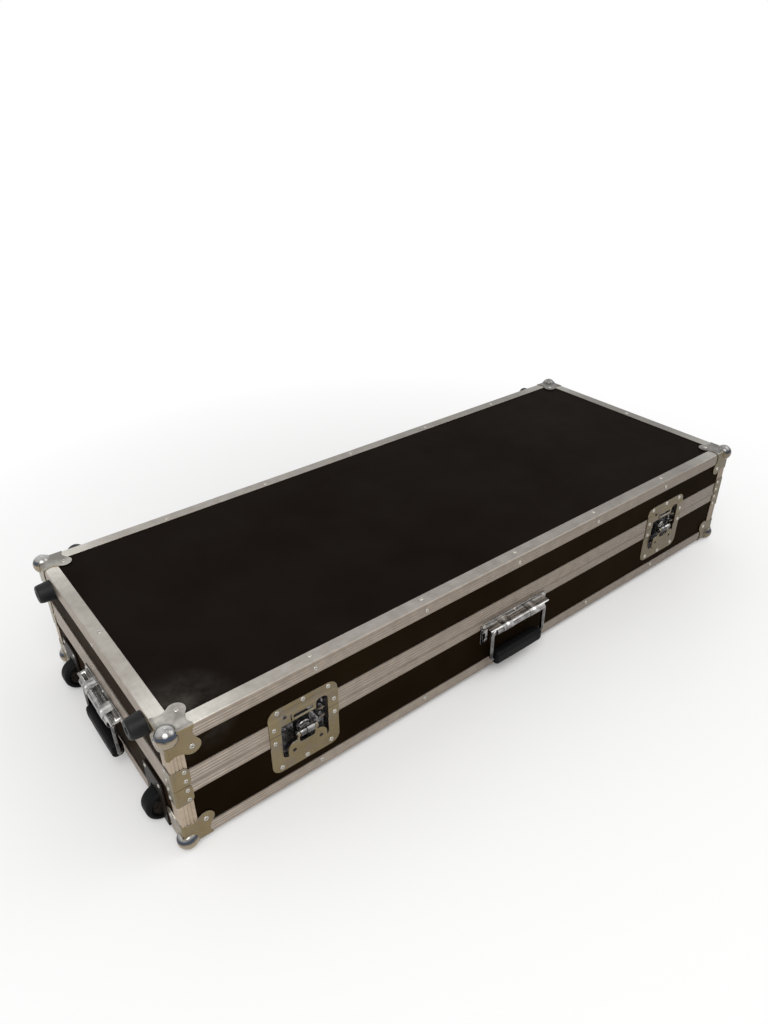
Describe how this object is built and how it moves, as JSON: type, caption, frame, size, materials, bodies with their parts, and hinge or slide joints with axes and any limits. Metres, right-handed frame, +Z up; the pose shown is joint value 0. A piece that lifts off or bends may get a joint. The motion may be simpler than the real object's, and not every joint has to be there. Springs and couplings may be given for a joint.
{
  "type": "keyboard hard case",
  "caption": "Plywood flight case for a keyboard, with aluminium edges, ball corners, butterfly latches, drop handles, tilt wheels, rubber feet and a hinged lid over a foam bay.",
  "frame": {"origin": "middle of the bounding box's underside, at the height of the lowest points of the base's ball corners", "axes": "+X along the case from the wheeled left end to the right end, +Y from the latched front to the hinged back, +Z up"},
  "size_m": [1.241, 0.5206, 0.218],
  "materials": {
    "laminate": "dark brown phenolic film on plywood, satin with a fine grain",
    "aluminium": "extruded, satin anodised, fine ridges along the length",
    "zinc": "pressed steel, bright zinc plated",
    "chrome": "polished bright plating",
    "steel": "plain steel, satin",
    "rubber": "black, matte",
    "plastic": "black moulded, fine texture",
    "foam": "charcoal closed-cell foam, matte"
  },
  "bodies": {
    "base": {"base_floor": "laminate", "base_front_panel": "laminate", "base_back_panel": "laminate", "base_left_panel": "laminate", "base_right_panel": "laminate", "base_edge_frame": "aluminium", "base_edge_left": "aluminium", "base_rim": "aluminium", "base_rim_front": "aluminium", "base_foam_tray": "foam", "base_corner_front_left": "zinc", "base_corner_front_right": "zinc", "base_corner_back_left": "zinc", "base_corner_back_right": "zinc", "latch_dish_left": "zinc", "latch_dish_right": "zinc", "front_handle_plate": "zinc", "end_handle_plate": "zinc", "wheel_housing_front": "plastic", "wheel_axle_front": "steel", "wheel_housing_back": "plastic", "wheel_axle_back": "steel", "hinge_base_leaf_left": "zinc", "hinge_pin_left": "zinc", "hinge_base_leaf_right": "zinc", "hinge_pin_right": "zinc"},
    "lid": {"lid_top_panel": "laminate", "lid_front_panel": "laminate", "lid_back_panel": "laminate", "lid_left_panel": "laminate", "lid_right_panel": "laminate", "lid_edge_frame": "aluminium", "lid_rim": "aluminium", "lid_rim_front": "aluminium", "lid_foam_sheet": "foam", "lid_corner_front_left": "zinc", "lid_corner_front_right": "zinc", "lid_corner_back_left": "zinc", "lid_corner_back_right": "zinc", "latch_keeper_left": "zinc", "latch_keeper_right": "zinc", "end_foot_front": "rubber", "end_foot_back": "rubber", "back_foot_left": "rubber", "back_foot_right": "rubber", "hinge_lid_leaf_left": "zinc", "hinge_lid_leaf_right": "zinc"},
    "spindle_left": {"latch_spindle_left": "chrome"},
    "hook_left": {"latch_hook_left": "steel"},
    "wing_left": {"latch_wing_left": "zinc"},
    "spindle_right": {"latch_spindle_right": "chrome"},
    "hook_right": {"latch_hook_right": "steel"},
    "wing_right": {"latch_wing_right": "zinc"},
    "front_bail": {"front_handle_bail": "chrome", "front_handle_grip": "rubber"},
    "end_bail": {"end_handle_bail": "chrome", "end_handle_grip": "rubber"},
    "wheel_front": {"wheel_front": "rubber"},
    "wheel_back": {"wheel_back": "rubber"}
  },
  "joints": [
    {"name": "lid_hinge", "type": "hinge", "parent": "base", "child": "lid", "pos_m": [0.0075, 0.24325, 0.11525], "axis": [-1, 0, 0], "range_deg": [0, 100]},
    {"name": "wheel_front_spin", "type": "hinge", "parent": "base", "child": "wheel_front", "pos_m": [-0.5955, -0.16125, 0.026], "axis": [0, 1, 0], "continuous": true},
    {"name": "wheel_back_spin", "type": "hinge", "parent": "base", "child": "wheel_back", "pos_m": [-0.5955, 0.16075, 0.026], "axis": [0, 1, 0], "continuous": true},
    {"name": "front_handle_swing", "type": "hinge", "parent": "base", "child": "front_bail", "pos_m": [0.0075, -0.25075, 0.095], "axis": [-1, 0, 0], "range_deg": [0, 90]},
    {"name": "end_handle_swing", "type": "hinge", "parent": "base", "child": "end_bail", "pos_m": [-0.6105, -0.00025, 0.095], "axis": [0, 1, 0], "range_deg": [0, 90]},
    {"name": "latch_left_twist", "type": "hinge", "parent": "base", "child": "spindle_left", "pos_m": [-0.4045, -0.23775, 0.102], "axis": [0, 1, 0], "range_deg": [0, 180]},
    {"name": "latch_left_hook_slide", "type": "slide", "parent": "base", "child": "hook_left", "axis": [0, 0, 1], "range_m": [0, 0.008]},
    {"name": "latch_left_wing_flip", "type": "hinge", "parent": "spindle_left", "child": "wing_left", "pos_m": [-0.4045, -0.24145, 0.102], "axis": [-1, 0, 0], "range_deg": [0, 95]},
    {"name": "latch_right_twist", "type": "hinge", "parent": "base", "child": "spindle_right", "pos_m": [0.4195, -0.23775, 0.102], "axis": [0, 1, 0], "range_deg": [0, 180]},
    {"name": "latch_right_hook_slide", "type": "slide", "parent": "base", "child": "hook_right", "axis": [0, 0, 1], "range_m": [0, 0.008]},
    {"name": "latch_right_wing_flip", "type": "hinge", "parent": "spindle_right", "child": "wing_right", "pos_m": [0.4195, -0.24145, 0.102], "axis": [-1, 0, 0], "range_deg": [0, 95]}
  ],
  "couplings": [
    {"joint": "latch_left_twist", "follows": "latch_left_hook_slide", "rad_per_m": 392.69},
    {"joint": "latch_right_twist", "follows": "latch_right_hook_slide", "rad_per_m": 392.69}
  ]
}
